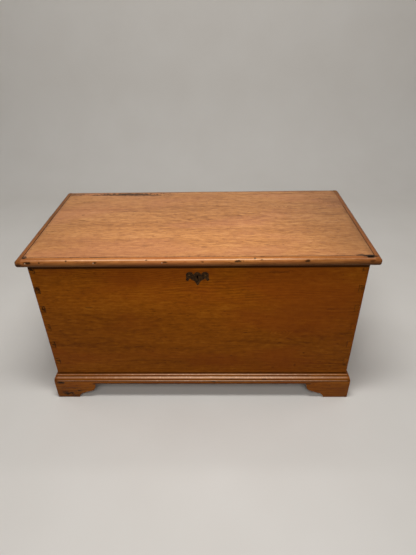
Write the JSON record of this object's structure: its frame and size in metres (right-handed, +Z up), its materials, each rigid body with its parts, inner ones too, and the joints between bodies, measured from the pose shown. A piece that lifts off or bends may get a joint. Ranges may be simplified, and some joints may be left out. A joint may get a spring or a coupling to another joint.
{
  "type": "blanket chest",
  "caption": "Pine blanket chest: a dovetailed box on a moulded plinth with bracket feet, under a hinged lid with a rounded moulded edge, with a keyhole plate over a box lock.",
  "frame": {"origin": "on the floor, below the middle of the lid's length and depth", "axes": "+X along the chest to the right as seen from the front, +Y from the front to the back, +Z up"},
  "size_m": [1.2, 0.595, 0.655],
  "materials": {
    "lid_pine": "waxed old pine, honey brown, lightly worn",
    "carcass_pine": "waxed old pine, darker brown",
    "bottom_pine": "bare dusty pine",
    "plinth_pine": "polished old pine with a soft shine on the moulding",
    "block_pine": "rough bare pine",
    "nail_iron": "dark, lightly rusted",
    "hinge_iron": "dark iron, worn on the knuckles",
    "lock_iron": "dark iron, dull",
    "spring_steel": "dull spring steel",
    "aged_brass": "dark brown patina, rubbed at the edges"
  },
  "bodies": {
    "carcass": {"front_board": "carcass_pine", "back_board": "carcass_pine", "end_board_left": "carcass_pine", "end_board_right": "carcass_pine", "bottom_board_1": "bottom_pine", "bottom_board_2": "bottom_pine", "bottom_board_3": "bottom_pine", "plinth_front": "plinth_pine", "plinth_left": "plinth_pine", "plinth_right": "plinth_pine", "rear_foot_bracket_left": "block_pine", "rear_foot_bracket_right": "block_pine", "foot_block_front_left": "block_pine", "foot_block_front_right": "block_pine", "foot_block_rear_left": "block_pine", "foot_block_rear_right": "block_pine", "bottom_nails": "nail_iron", "plinth_nails": "nail_iron", "hinge_leaf_carcass_left": "hinge_iron", "hinge_leaf_carcass_right": "hinge_iron", "hinge_pin_left": "hinge_iron", "hinge_pin_right": "hinge_iron", "carcass_hinge_screws": "hinge_iron", "lock_plate": "lock_iron", "lock_cover": "lock_iron", "lock_screws": "lock_iron", "bolt_guides": "lock_iron", "key_post": "lock_iron", "bolt_spring": "spring_steel", "escutcheon": "aged_brass", "escutcheon_pins": "aged_brass"},
    "lid": {"lid_board": "lid_pine", "lid_back_strip": "lid_pine", "lid_moulding_front": "lid_pine", "lid_moulding_left": "lid_pine", "lid_moulding_right": "lid_pine", "lid_nails": "nail_iron", "hinge_leaf_lid_left": "hinge_iron", "hinge_leaf_lid_right": "hinge_iron", "lid_hinge_screws": "hinge_iron", "link_plate": "lock_iron", "link_screws": "lock_iron"},
    "lock_bolt": {"lock_bolt": "lock_iron"}
  },
  "joints": [
    {"name": "lid_hinge", "type": "hinge", "parent": "carcass", "child": "lid", "pos_m": [0, 0.2855, 0.635], "axis": [-1, 0, 0], "range_deg": [0, 98]},
    {"name": "lock_bolt_slide", "type": "slide", "parent": "carcass", "child": "lock_bolt", "axis": [1, 0, 0], "range_m": [0, 0.009]}
  ]
}
